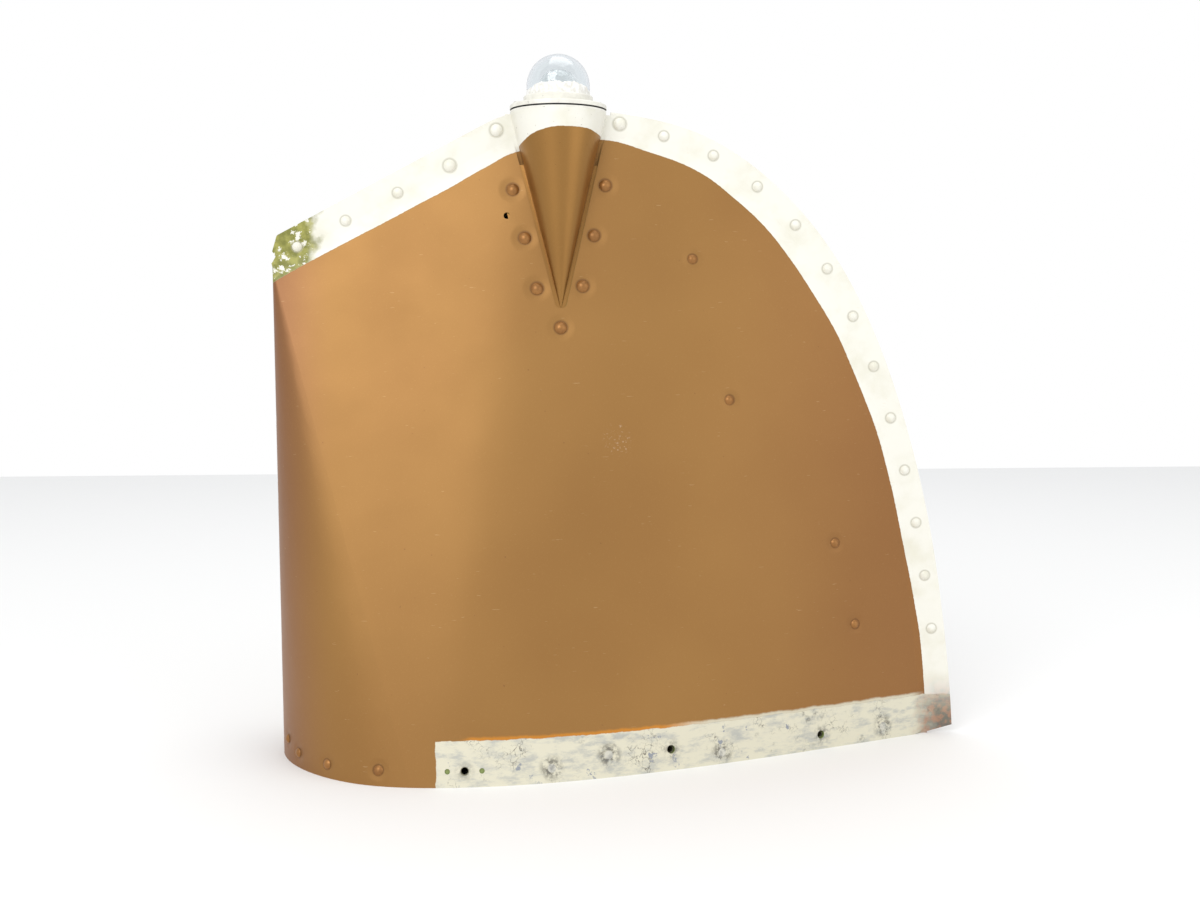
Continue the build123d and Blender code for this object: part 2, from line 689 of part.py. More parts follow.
with BuildPart() as light_gasket:
    with BuildSketch(Plane.XY.offset(bracket_top)):
        with Locations((LIGHT_X, 0)):
            Circle(BASE_RADIUS - GASKET_INSET)
            Circle(BRACKET_BORE, mode=Mode.SUBTRACT)
    extrude(amount=GASKET_THICK)
    screw_holes(gasket_top, 2 * GASKET_THICK, LIGHT_SCREW_WIDTH + 2 * FIT)
finish(light_gasket.part, "light_gasket")

with BuildPart() as light_base:
    with BuildSketch(LIGHT_PLANE):
        with BuildLine():
            Polyline(
                (SOCKET_RADIUS + FIT, gasket_top), (BASE_RADIUS, gasket_top), (BASE_RADIUS, base_top),
                (BASE_STEP_RADIUS, base_top), (BASE_STEP_RADIUS, step_top),
                (SOCKET_FLANGE + FIT, step_top), (SOCKET_FLANGE + FIT, step_top - SOCKET_FLANGE_THICK),
                (SOCKET_RADIUS + FIT, step_top - SOCKET_FLANGE_THICK), close=True,
            )
        make_face()
    revolve(axis=LIGHT_AXIS)
    circles = light_base.edges().filter_by(GeomType.CIRCLE)
    rim_circles = circles.filter_by(lambda edge: abs(edge.radius - BASE_RADIUS) < FIT)
    fillet(rim_circles.sort_by(Axis.Z)[-1], radius=BASE_EDGE_ROUND)
    screw_holes(base_top, 2 * BASE_THICK, LIGHT_SCREW_WIDTH + 2 * FIT)
finish(light_base.part, "light_base")

with BuildPart() as light_screws:
    with BuildSketch(LIGHT_PLANE):
        with BuildLine():
            head, tall = LIGHT_SCREW_HEAD
            RadiusArc(
                (LIGHT_SCREW_X + head / 2, base_top), (LIGHT_SCREW_X, base_top + tall),
                -(head * head / 4 + tall * tall) / (2 * tall),
            )
            Polyline(
                (LIGHT_SCREW_X, base_top + tall), (LIGHT_SCREW_X, base_top - LIGHT_SCREW_LENGTH),
                (LIGHT_SCREW_X + LIGHT_SCREW_WIDTH / 2, base_top - LIGHT_SCREW_LENGTH),
                (LIGHT_SCREW_X + LIGHT_SCREW_WIDTH / 2, base_top), (LIGHT_SCREW_X + head / 2, base_top),
            )
        make_face()
    revolve(axis=Axis((LIGHT_X + LIGHT_SCREW_X, 0, 0), (0, 0, 1)))
    mirror(about=Plane.YZ.offset(LIGHT_X))
finish(light_screws.part, "light_screws")

lens_top = step_top + LENS_TALL
lens_middle = lens_top - LENS_RADIUS
lens_bore = LENS_RADIUS - LENS_WALL
with BuildPart() as clear_lens:
    with BuildSketch(LIGHT_PLANE):
        with BuildLine():
            Polyline(
                (lens_bore, lens_middle), (lens_bore, step_top), (LENS_FOOT, step_top),
                (LENS_FOOT, lens_foot_top), (LENS_RADIUS, lens_foot_top), (LENS_RADIUS, lens_middle),
            )
            RadiusArc((LENS_RADIUS, lens_middle), (0, lens_top), -LENS_RADIUS)
            Line((0, lens_top), (0, lens_top - LENS_WALL))
            RadiusArc((0, lens_top - LENS_WALL), (lens_bore, lens_middle), lens_bore)
        make_face()
    revolve(axis=LIGHT_AXIS)
finish(clear_lens.part, "clear_lens")

with BuildPart() as lens_retainer:
    with BuildSketch(LIGHT_PLANE):
        with BuildLine():
            Polyline(
                (LENS_FOOT + FIT, step_top), (RETAINER_RADIUS, step_top),
                (RETAINER_RADIUS, step_top + RETAINER_TALL - RETAINER_CHAMFER),
                (RETAINER_RADIUS - RETAINER_CHAMFER, step_top + RETAINER_TALL),
                (LENS_RADIUS + FIT, step_top + RETAINER_TALL), (LENS_RADIUS + FIT, lens_foot_top),
                (LENS_FOOT + FIT, lens_foot_top), close=True,
            )
        make_face()
    revolve(axis=LIGHT_AXIS)
finish(lens_retainer.part, "lens_retainer")

socket_top = step_top
socket_foot = socket_top - SOCKET_FLANGE_THICK - SOCKET_DEPTH
floor_top = socket_foot + SOCKET_FLOOR
with BuildPart() as lamp_socket:
    with BuildSketch(LIGHT_PLANE):
        with BuildLine():
            Polyline(
                (INSULATOR_STEM + FIT, socket_foot), (SOCKET_RADIUS, socket_foot),
                (SOCKET_RADIUS, socket_top - SOCKET_FLANGE_THICK),
                (SOCKET_FLANGE, socket_top - SOCKET_FLANGE_THICK), (SOCKET_FLANGE, socket_top),
                (SOCKET_BORE, socket_top), (SOCKET_BORE, floor_top), (INSULATOR_STEM + FIT, floor_top),
                close=True,
            )
        make_face()
    revolve(axis=LIGHT_AXIS)
finish(lamp_socket.part, "lamp_socket")

insulator_top = floor_top + INSULATOR_THICK
with BuildPart() as socket_insulator:
    with BuildSketch(LIGHT_PLANE):
        with BuildLine():
            Polyline(
                (TERMINAL_RADIUS + FIT, socket_foot - INSULATOR_THICK),
                (INSULATOR_STEM, socket_foot - INSULATOR_THICK), (INSULATOR_STEM, floor_top),
                (INSULATOR_RADIUS, floor_top), (INSULATOR_RADIUS, insulator_top),
                (TERMINAL_RADIUS + FIT, insulator_top), close=True,
            )
        make_face()
    revolve(axis=LIGHT_AXIS)
finish(socket_insulator.part, "socket_insulator")

contact_top = insulator_top + CONTACT_TALL
with BuildPart() as lamp_contact:
    with BuildSketch(LIGHT_PLANE):
        with BuildLine():
            Polyline(
                (0, socket_foot - TERMINAL_DROP), (TERMINAL_RADIUS, socket_foot - TERMINAL_DROP),
                (TERMINAL_RADIUS, insulator_top), (CONTACT_RADIUS, insulator_top),
                (CONTACT_RADIUS, contact_top), (0, contact_top), close=True,
            )
        make_face()
    revolve(axis=LIGHT_AXIS)
finish(lamp_contact.part, "lamp_contact")

bulb_base_top = contact_top + BULB_BASE_TALL
with BuildPart() as bulb_base:
    with BuildSketch(Plane.XY.offset(contact_top)):
        with Locations((LIGHT_X, 0)):
            Circle(BULB_BASE_RADIUS)
    extrude(amount=BULB_BASE_TALL)
    chamfer(bulb_base.edges().sort_by(Axis.Z)[0], length=BULB_BASE_CHAMFER)
finish(bulb_base.part, "bulb_base")

bulb_middle = bulb_base_top + BULB_RISE
bulb_top = bulb_middle + BULB_RADIUS
neck_z = bulb_middle - (BULB_RADIUS ** 2 - BULB_NECK ** 2) ** 0.5
with BuildPart() as bulb_glass:
    with BuildSketch(LIGHT_PLANE):
        with BuildLine():
            Polyline((0, bulb_top), (0, bulb_base_top), (BULB_NECK, bulb_base_top), (BULB_NECK, neck_z))
            ThreePointArc((BULB_NECK, neck_z), (BULB_RADIUS, bulb_middle), (0, bulb_top))
        make_face()
    revolve(axis=LIGHT_AXIS)
finish(bulb_glass.part, "bulb_glass")
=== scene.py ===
import math

import bpy
import numpy as np
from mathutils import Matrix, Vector


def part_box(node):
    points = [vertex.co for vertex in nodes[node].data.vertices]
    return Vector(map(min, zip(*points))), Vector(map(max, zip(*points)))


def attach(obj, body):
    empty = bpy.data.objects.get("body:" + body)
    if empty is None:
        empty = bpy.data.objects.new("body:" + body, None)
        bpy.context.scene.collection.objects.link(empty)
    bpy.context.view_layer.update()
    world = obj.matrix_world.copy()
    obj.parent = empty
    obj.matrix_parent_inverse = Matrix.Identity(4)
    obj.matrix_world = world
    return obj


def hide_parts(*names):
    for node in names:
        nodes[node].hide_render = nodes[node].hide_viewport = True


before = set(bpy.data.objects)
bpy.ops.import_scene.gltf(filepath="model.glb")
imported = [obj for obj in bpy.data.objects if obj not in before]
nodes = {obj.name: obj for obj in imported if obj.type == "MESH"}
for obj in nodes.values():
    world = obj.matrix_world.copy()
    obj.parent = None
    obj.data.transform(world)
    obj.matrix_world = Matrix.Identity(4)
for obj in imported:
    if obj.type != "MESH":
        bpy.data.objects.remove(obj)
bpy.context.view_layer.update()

MM = 0.001

# Light, as the part's source has it: axis, lens and bulb, in millimetres
LIGHT_X = -32.5
LENS_LOW, LENS_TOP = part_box("clear_lens")[0].z / MM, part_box("clear_lens")[1].z / MM
LENS_RADIUS = 15.6
BULB_LOW, BULB_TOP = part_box("bulb_glass")[0].z / MM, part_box("bulb_glass")[1].z / MM
BULB_RADIUS = 9.8
BULB_NECK = 6.6
BULB_WALL = 0.5
POLE = 0.02

# Stem, leads and coiled filament inside the bulb
STEM_TOP = BULB_LOW + 6.5
COIL_HEIGHT = BULB_LOW + 11.2
COIL_HALF = 3.2
COIL_RADIUS = 0.45
COIL_TURNS = 15
STEPS_PER_TURN = 14
FILAMENT_RADIUS = 0.1
LEAD_RADIUS = 0.22

# Slot between the pods' cones and the notch, and the painted sealant in it
CONE_TIP, CONE_RING, CONE_RADIUS = 220.2, 317.5, 23.75
NOTCH_LEVELS, NOTCH_REACH = (221.5, 301.0, 316.5), (2.4, 21.6, 26.0)
SEAL_LOW, SEAL_TOP, SEAL_HALF = 287.0, 317.0, 0.75
SEAL_ROWS = 16
CONE_LAP, NOTCH_LAP = 0.5, 0.4

# Paint mist on the lens: foot, ragged edge at the front and the sides, and its waves (height, count)
MIST_LOW = LENS_LOW + 3.2
MIST_FRONT, MIST_SIDE = 331.2, 328.6
MIST_SPREAD = 1.25
MIST_WAVES = ((0.35, 5), (0.3, 11), (0.22, 23), (0.16, 41), (0.1, 67))
MIST_RAGGED = 0.7
MIST_ROWS, MIST_AROUND = 14, 360

# Paint edges, in millimetres: cream band along the rim, seen from the side
BAND_CENTRE = (-30.0, 60.0)
BAND_EDGE = [
    (-168.0, 237.0), (-129.4, 257.8), (-99.4, 273.7), (-68.7, 290.7), (-54.2, 298.2), (-30.0, 303.0),
    (-9.9, 304.9), (12.3, 299.3), (33.5, 291.8), (57.6, 275.2), (71.5, 262.6), (84.0, 247.4), (96.8, 228.9),
    (109.5, 208.4), (120.2, 185.1), (131.1, 158.3), (139.4, 129.3), (145.8, 100.8), (151.1, 76.9),
    (155.9, 50.7), (158.8, 21.4), (160.4, 0.0),
]
BAND_TURNS, BAND_REACH = (-0.35, 2.25), (160.0, 260.0)
POD_EDGE = [
    (-22.0, 298.5), (-17.2, 302.9), (-13.3, 305.6), (-8.4, 307.3), (-2.7, 308.4),
    (5.3, 308.5), (10.8, 308.3), (13.8, 308.0), (17.1, 306.9), (22.0, 305.0),
]
POD_SPAN, POD_LEVELS = (-24.0, 24.0), (290.0, 315.0)
STRIP_TOP = 20.6
STRIP_START = -94.0
EDGE_SOFT = 0.15
STRIP_SOFT = 0.2
SHEET_HALF = 0.8

# Half widths of the rivet heads
SMALL_HEAD, LARGE_HEAD = 2.3, 2.9

# Colours of the real finishes, and the dark bronze, painted shade for the tail end
BRONZE_TAIL_SHADE = "#8A5A33"
CREAM = "#E9E7DC"
CREAM_SHADE = "#DFDCCB"
AMBER = "#C9832C"
BARE = "#8E9298"
GRIME = "#2B241C"
RUST = "#8A4B22"
STRIP_CREAM = "#D6D1BB"
PRIMER = "#8C9A5B"
PRIMER_SHADE = "#76834A"

# Settings that many nodes share, and the roughness of a plain soft noise
SMOOTH = {"interpolation_type": "SMOOTHSTEP"}
COLOUR = {"data_type": "RGBA"}
SOFT = 0.55


def linear(colour):
    """sRGB hex colour as linear red, green and blue, with alpha 1."""
    parts = [int(colour[i:i + 2], 16) / 255 for i in (1, 3, 5)]
    return tuple(p / 12.92 if p <= 0.04045 else ((p + 0.055) / 1.055) ** 2.4 for p in parts) + (1.0,)


def across(size):
    """Scale of a pattern whose features are so many millimetres across."""
    return 1 / (size * MM)


class Finish:
    """A named material and the short way to add nodes to it."""

    def __init__(self, name):
        self.material = bpy.data.materials.new(name)
        self.material.use_nodes = True
        self.tree = self.material.node_tree
        self.shader = self.tree.nodes["Principled BSDF"]
        self.place = self.add("TexCoord", output="Object")

    def add(self, kind, *inputs, output=None, **settings):
        """Add one node, and give back its first live output or the one named.

        Inputs fill the live sockets in order. A setting with a capital is for the socket of that name,
        and any other is the node's own.
        """
        made = self.tree.nodes.new("ShaderNode" + kind)
        for name, value in settings.items():
            if name[0].islower():
                setattr(made, name, value)
        live = [socket for socket in made.inputs if socket.enabled]
        for socket, value in zip(live, inputs):
            self.feed(socket, value)
        for name, value in settings.items():
            if name[0].isupper():
                self.feed(made.inputs[name], value)
        if output:
            return made.outputs[output]
        return next(socket for socket in made.outputs if socket.enabled)

    def feed(self, socket, value):
        """Link a socket to another one's output, or set its own value."""
        if isinstance(value, bpy.types.NodeSocket):
            self.tree.links.new(value, socket)
        else:
            socket.default_value = value

    def set(self, **inputs):
        """Set or link the main shader's sockets by their names, with _ for a space."""
        for name, value in inputs.items():
            self.feed(self.shader.inputs[name.replace("_", " ")], value)


def group_centres(name):
    """Centre of each separate solid in a CAD node, in metres."""
    mesh = nodes[name].data
    points = np.zeros(len(mesh.vertices) * 3)
    mesh.vertices.foreach_get("co", points)
    points = points.reshape(-1, 3)
    keys = np.unique(np.round(points, 5), axis=0, return_inverse=True)[1].reshape(-1)
    label = np.arange(keys.max() + 1)
    edges = np.zeros(len(mesh.edges) * 2, int)
    mesh.edges.foreach_get("vertices", edges)
    ends = keys[edges.reshape(-1, 2)]
    while True:
        low = np.minimum(label[ends[:, 0]], label[ends[:, 1]])
        before = label.copy()
        np.minimum.at(label, ends[:, 0], low)
        np.minimum.at(label, ends[:, 1], low)
        if (label == before).all():
            break
    found = []
    for one in np.unique(label):
        part = points[label[keys] == one]
        found.append((part.min(0) + part.max(0)) / 2)
    return sorted(found, key=lambda c: (round(c[0], 4), round(c[1], 4)))


def side_spots(name, width=1):
    """Centres of a node's solids on one side, with a width each: the finish folds the other side onto it."""
    return [(centre, width) for centre in group_centres(name) if centre[1] > 0]


def seam_spots(name, width):
    """Centres of the seam's rivets, moved out to the sheet's face, with a width each."""
    return [((centre[0], SHEET_HALF * MM, centre[2]), width) for centre in group_centres(name)]


def side_view(f):
    """Place along the part and height above its base, in millimetres."""
    split = f.add("SeparateXYZ", f.add("VectorMath", f.place, 1 / MM, operation="SCALE")).node
    return split.outputs["X"], split.outputs["Z"]


def both_sides(f):
    """Place with one side folded onto the other."""
    split = f.add("SeparateXYZ", f.place).node
    positive = f.add("VectorMath", f.place, operation="ABSOLUTE")
    aside = f.add("SeparateXYZ", positive, output="Y")
    return f.add("CombineXYZ", split.outputs["X"], aside, split.outputs["Z"])


def patches(f, size, low, high, detail=4, rough=SOFT, place=None):
    """Irregular patches: a noise of so many millimetres, cut smoothly between two levels."""
    noise = f.add("TexNoise", place or f.place, across(size), detail, rough)
    return f.add("MapRange", noise, low, high, **SMOOTH)


def round_spots(f, place, spots, outer, inner, join="MAXIMUM"):
    """Share that is 1 at each spot (centre, width) and 0 beyond, between two multiples of its width."""
    total = None
    for centre, width in spots:
        away = f.add("VectorMath", place, tuple(centre), operation="DISTANCE")
        one = f.add("MapRange", away, width * outer * MM, width * inner * MM, **SMOOTH)
        total = one if total is None else f.add("Math", total, one, operation=join)
    return total


def edge_line(f, along, points, span, levels):
    """Level of a paint edge, read off a smooth line through points (place along it, level)."""
    (low, high), (near, far) = span, levels
    share = f.add("Math", f.add("Math", along, low, operation="SUBTRACT"), high - low, operation="DIVIDE")
    line = f.add("FloatCurve", Value=share).node
    curve = line.mapping.curves[0]
    while len(curve.points) < len(points):
        curve.points.new(0.5, 0.5)
    for spot, (spot_along, level) in zip(curve.points, points):
        spot.location = ((spot_along - low) / (high - low), (level - near) / (far - near))
        spot.handle_type = "AUTO"
    line.mapping.update()
    return f.add("Math", line.outputs["Value"], far - near, near, operation="MULTIPLY_ADD")


def past_edge(f, height, edge):
    """Share that is 1 above a paint edge, with the fine wobble of a masked line."""
    noise = f.add("TexNoise", f.place, across(1.5), 2, SOFT)
    wobble = f.add("Math", noise, 0.5, -0.25, operation="MULTIPLY_ADD")
    above = f.add("Math", height, edge, operation="SUBTRACT")
    above = f.add("Math", above, wobble, operation="ADD")
    return f.add("MapRange", above, -EDGE_SOFT, EDGE_SOFT, **SMOOTH)


def band_mask(f, x, z):
    """1 in the cream band: polar distance from BAND_CENTRE beyond the line through BAND_EDGE."""
    dx = f.add("Math", x, BAND_CENTRE[0], operation="SUBTRACT")
    dz = f.add("Math", z, BAND_CENTRE[1], operation="SUBTRACT")
    angle = f.add("Math", dz, dx, operation="ARCTAN2")
    dx_squared = f.add("Math", dx, dx, operation="MULTIPLY")
    dz_squared = f.add("Math", dz, dz, operation="MULTIPLY")
    reach = f.add("Math", f.add("Math", dx_squared, dz_squared, operation="ADD"), operation="SQRT")
    polar = []
    for edge_x, edge_z in reversed(BAND_EDGE):
        away_x, away_z = edge_x - BAND_CENTRE[0], edge_z - BAND_CENTRE[1]
        polar.append((math.atan2(away_z, away_x), math.hypot(away_x, away_z)))
    return past_edge(f, reach, edge_line(f, angle, polar, BAND_TURNS, BAND_REACH))


def cream_coat(f):
    """Cream enamel, a little chalky, in two near tones."""
    return f.add("Mix", patches(f, 18, 0.42, 0.75), linear(CREAM), linear(CREAM_SHADE), **COLOUR)


def bronze_coat(f, x):
    """Colour and roughness of the bronze paint: metallic grain and pits, with painted shade that darkens it
    towards the tail and the nose.
    """
    cloud = patches(f, 90, 0.2, 0.8, 2, 0.5)
    colour = f.add("Mix", cloud, linear("#946A36"), linear("#9D733C"), **COLOUR)
    # Painted shade: the bronze darkens towards the tail and towards the nose
    tail = f.add("Math", f.add("MapRange", x, 20, 170, **SMOOTH), 0.6, operation="MULTIPLY")
    colour = f.add("Mix", tail, colour, linear(BRONZE_TAIL_SHADE), **COLOUR)
    nose = f.add("Math", f.add("MapRange", x, -140, -175, **SMOOTH), 0.6, operation="MULTIPLY")
    colour = f.add("Mix", nose, colour, linear("#7E4F3C"), **COLOUR)
    grain = f.add("Math", patches(f, 0.7, 0.55, 0.8, 2, 0.7), 0.18, operation="MULTIPLY")
    colour = f.add("Mix", grain, colour, linear("#BC9055"), **COLOUR)
    pits = f.add("Math", patches(f, 2.0, 0.79, 0.83, 1), 0.5, operation="MULTIPLY")
    colour = f.add("Mix", pits, colour, linear("#6E4A2C"), **COLOUR)
    shine = f.add("TexNoise", f.place, across(35), 4, SOFT)
    return colour, f.add("Math", shine, 0.12, 0.38, operation="MULTIPLY_ADD")


def olive_corner(f, x, band, colour):
    """Old olive paint at the top of the nose, worn through to the cream in chips."""
    ragged = f.add("Math", f.add("TexNoise", f.place, across(7), 4, SOFT), 16, x, operation="MULTIPLY_ADD")
    corner = f.add("Math", f.add("MapRange", ragged, -141, -149, **SMOOTH), band, operation="MULTIPLY")
    whole = f.add("Math", 1.0, patches(f, 3.2, 0.56, 0.6, 5, 0.7), operation="SUBTRACT")
    olive = f.add("Mix", patches(f, 4, 0.35, 0.7, 3), linear("#77772E"), linear("#A3A052"), **COLOUR)
    return f.add("Mix", f.add("Math", corner, whole, operation="MULTIPLY"), colour, olive, **COLOUR)


def strip_mask(f, x, z):
    """Share of the bare lap strip, and the wandering level that its upper edge follows."""
    noise = f.add("TexNoise", f.place, across(9), 5, 0.65)
    wander = f.add("Math", noise, 2.6, -1.3, operation="MULTIPLY_ADD")
    level = f.add("Math", z, wander, operation="ADD")
    start = f.add("Math", x, wander, operation="ADD")
    below = f.add("MapRange", level, STRIP_TOP + STRIP_SOFT, STRIP_TOP - STRIP_SOFT, **SMOOTH)
    behind = f.add("MapRange", start, STRIP_START - STRIP_SOFT, STRIP_START + STRIP_SOFT, **SMOOTH)
    return f.add("Math", below, behind, operation="MULTIPLY"), level


def strip_coat(f, folded, holes):
    """Colour of the bare strip, its streaks and its cracks.

    Streaked remains of cream, broken by crackle, dark stains, a smear round each hole and grey metal.
    """
    drawn_out = f.add("VectorMath", f.place, (0.35, 0.35, 1), operation="MULTIPLY")
    streak = f.add("TexNoise", drawn_out, across(5), 6, 0.7)
    share = f.add("MapRange", streak, 0.45, 0.68, **SMOOTH)
    colour = f.add("Mix", share, linear(STRIP_CREAM), linear("#B3B3AA"), **COLOUR)

    scatter = f.add("TexNoise", f.place, across(2), output="Color")
    bent = f.add("Mix", 0.004, f.place, scatter, data_type="VECTOR")
    cells = f.add("TexVoronoi", bent, across(3.2), feature="DISTANCE_TO_EDGE")
    where = f.add("Math", patches(f, 16, 0.52, 0.66), 0.7, operation="MULTIPLY")
    cracks = f.add("Math", f.add("MapRange", cells, 0.05, 0.02, **SMOOTH), where, operation="MULTIPLY")
    colour = f.add("Mix", cracks, colour, linear(GRIME), **COLOUR)

    stain = f.add("Math", patches(f, 14, 0.58, 0.72, 6, 0.75), 0.75, operation="MULTIPLY")
    colour = f.add("Mix", stain, colour, linear("#4B4A44"), **COLOUR)
    rings = round_spots(f, folded, holes, 7.5, 3.0)
    smear = f.add("Math", rings, patches(f, 3, 0.4, 0.62, 5, 0.7), operation="MULTIPLY")
    smear = f.add("Math", smear, 0.8, operation="MULTIPLY")
    colour = f.add("Mix", smear, colour, linear("#3C3A35"), **COLOUR)
    colour = f.add("Mix", patches(f, 10, 0.64, 0.67, 5, 0.7), colour, linear(BARE), **COLOUR)
    return colour, streak, cracks


def amber_ridge(f, x, strip, level, colour):
    """Amber paint, and further back cream, left just above the strip."""
    ridge = f.add("MapRange", level, STRIP_TOP + 2.0, STRIP_TOP + 0.6, **SMOOTH)
    ridge = f.add("Math", ridge, f.add("Math", 1.0, strip, operation="SUBTRACT"), operation="MULTIPLY")
    from_nose = f.add("MapRange", x, -84, -76, **SMOOTH)
    to_tail = f.add("MapRange", x, 160, 150, **SMOOTH)
    stretch = f.add("Math", from_nose, to_tail, operation="MULTIPLY")
    ridge = f.add("Math", ridge, stretch, operation="MULTIPLY")
    paint = f.add("Mix", f.add("MapRange", x, 12, 40, **SMOOTH), linear(AMBER), linear(STRIP_CREAM), **COLOUR)
    return f.add("Mix", f.add("Math", ridge, 0.9, operation="MULTIPLY"), colour, paint, **COLOUR)


def tail_grime(f, x, z, colour):
    """Rust and grime at the foot of the tail corner."""
    ragged = f.add("Math", f.add("TexNoise", f.place, across(6), 4, SOFT), 18, x, operation="MULTIPLY_ADD")
    behind = f.add("MapRange", ragged, 158, 176, **SMOOTH)
    grime = f.add("Math", behind, f.add("MapRange", z, 34, 6, **SMOOTH), operation="MULTIPLY")
    dirt = f.add("Mix", patches(f, 3, 0.4, 0.6), linear(GRIME), linear(RUST), **COLOUR)
    return f.add("Mix", f.add("Math", grime, 0.8, operation="MULTIPLY"), colour, dirt, **COLOUR)


def scuffs(f, x, z, colour):
    """Fine scratches everywhere, and the pale scuff in the middle: an ellipse filled with specks."""
    drawn_out = f.add("VectorMath", f.place, (0.16, 0.3, 1.4), operation="MULTIPLY")
    scratch = patches(f, 1.1, 0.74, 0.77, 2, 0.5, drawn_out)
    scratch = f.add("Math", scratch, 0.25, operation="MULTIPLY")
    colour = f.add("Mix", scratch, colour, linear("#D8B98C"), **COLOUR)
    squares = []
    for value, middle, half in ((x, -6.0, 8.0), (z, 158.0, 9.0)):
        share = f.add("Math", f.add("Math", value, middle, operation="SUBTRACT"), half, operation="DIVIDE")
        squares.append(f.add("Math", share, 2.0, operation="POWER"))
    ellipse = f.add("MapRange", f.add("Math", *squares, operation="ADD"), 1.0, 0.2, **SMOOTH)
    scuff = f.add("Math", ellipse, patches(f, 1.4, 0.55, 0.68, 4, 0.7), operation="MULTIPLY")
    return f.add("Mix", f.add("Math", scuff, 0.6, operation="MULTIPLY"), colour, linear("#CDB295"), **COLOUR)


def inside_mask(f, band):
    """1 where the surface faces the middle of the part, except in the cream band."""
    middle = f.add("VectorMath", f.place, (-0.1, 0, 0.15), operation="SUBTRACT")
    level = f.add("VectorMath", middle, (0.25, 1, 0), operation="MULTIPLY")
    facing = f.add("NewGeometry", output="True Normal")
    outward = f.add("VectorMath", level, facing, operation="DOT_PRODUCT")
    inward = f.add("MapRange", outward, -0.00005, -0.0002, **SMOOTH)
    return f.add("Math", inward, f.add("Math", 1.0, band, operation="SUBTRACT"), operation="MULTIPLY")


def skin_finish(rivets, seam_rivets, holes):
    """Satin bronze over the flanks, cream band along the rim, worn strip along the base edge.

    Sprayed enamel over sheet: a soft sheen with orange peel, hollows at the rivets and slow waves.
    """
    f = Finish("Satin bronze and cream aircraft enamel on folded aluminium sheet")
    x, z = side_view(f)
    folded = both_sides(f)
    band = band_mask(f, x, z)
    strip, level = strip_mask(f, x, z)
    inside = inside_mask(f, band)

    # Coats from the bronze up
    colour, rough = bronze_coat(f, x)
    colour = f.add("Mix", band, colour, cream_coat(f), **COLOUR)
    colour = olive_corner(f, x, band, colour)
    remains, streak, cracks = strip_coat(f, folded, holes)
    colour = f.add("Mix", strip, colour, remains, **COLOUR)
    colour = amber_ridge(f, x, strip, level, colour)
    colour = tail_grime(f, x, z, colour)
    colour = scuffs(f, x, z, colour)

    # Painted shade and dust: a darker line round each painted rivet head
    rivet_shade_and_dust = round_spots(f, folded, rivets + seam_rivets, 1.5, 1.12)
    shade = f.add("Mix", band, linear("#5F3D20"), linear("#A8A48F"), **COLOUR)
    colour = f.add("Mix", f.add("Math", rivet_shade_and_dust, 0.55, operation="MULTIPLY"), colour, shade, **COLOUR)

    # Plain primer inside
    primer = f.add("Mix", patches(f, 30, 0.35, 0.7), linear(PRIMER), linear(PRIMER_SHADE), **COLOUR)
    colour = f.add("Mix", inside, colour, primer, **COLOUR)
    for share, value in ((band, 0.42), (strip, 0.55), (inside, 0.7)):
        rough = f.add("Mix", share, rough, value)

    # Relief: hollows round the rivets, soft waves of the sheet, orange peel, worn strip, edge of the cream
    hollow = round_spots(f, folded, rivets, 2.6, 0.9, "ADD")
    relief = f.add("Bump", Height=f.add("Math", hollow, -1.0, operation="MULTIPLY"), Distance=0.35 * MM)
    worn = f.add("Math", streak, f.add("Math", cracks, -0.5, operation="MULTIPLY"), operation="ADD")
    for height, depth in (
        (f.add("TexNoise", f.place, across(60), 2, SOFT), 0.5),
        (f.add("TexNoise", f.place, across(0.9), 2, SOFT), 0.012),
        (f.add("Math", strip, worn, operation="MULTIPLY"), 0.12),
        (f.add("Math", band, strip, operation="SUBTRACT"), 0.08),
    ):
        relief = f.add("Bump", Height=height, Distance=depth * MM, Normal=relief)

    # The bronze alone has metal flakes
    other = f.add("Math", f.add("Math", band, strip, operation="MAXIMUM"), inside, operation="MAXIMUM")
    flakes = f.add("Math", f.add("Math", 1.0, other, operation="SUBTRACT"), 0.55, operation="MULTIPLY")
    f.set(Base_Color=colour, Roughness=rough, Normal=relief, IOR=1.5, Metallic=flakes)
    return f.material


def pod_finish():
    """Bronze cone with its cream top, the edge between them curved as the real mask was.

    The same sprayed enamel as the skin's, a little glossier, with small dark chips near the cream.
    """
    f = Finish("Satin bronze and cream enamel on the light's pods")
    x, z = side_view(f)
    colour, rough = bronze_coat(f, x)
    from_axis = f.add("Math", x, LIGHT_X, operation="SUBTRACT")
    cream = past_edge(f, z, edge_line(f, from_axis, POD_EDGE, POD_SPAN, POD_LEVELS))
    colour = f.add("Mix", cream, colour, cream_coat(f), **COLOUR)
    high = f.add("MapRange", z, 262, 300, **SMOOTH)
    chip = f.add("Math", patches(f, 1.2, 0.7, 0.72, 3), high, operation="MULTIPLY")
    chip = f.add("Math", chip, 0.5, operation="MULTIPLY")
    colour = f.add("Mix", chip, colour, linear("#5E4226"), **COLOUR)
    rough = f.add("Mix", cream, f.add("Math", rough, 0.1, operation="SUBTRACT"), 0.42)
    peel = f.add("Bump", Height=f.add("TexNoise", f.place, across(0.9), 2, SOFT), Distance=0.012 * MM)
    relief = f.add("Bump", Height=cream, Distance=0.08 * MM, Normal=peel)
    flakes = f.add("Math", f.add("Math", 1.0, cream, operation="SUBTRACT"), 0.75, operation="MULTIPLY")
    f.set(Base_Color=colour, Roughness=rough, Normal=relief, IOR=1.5, Metallic=flakes)
    return f.material


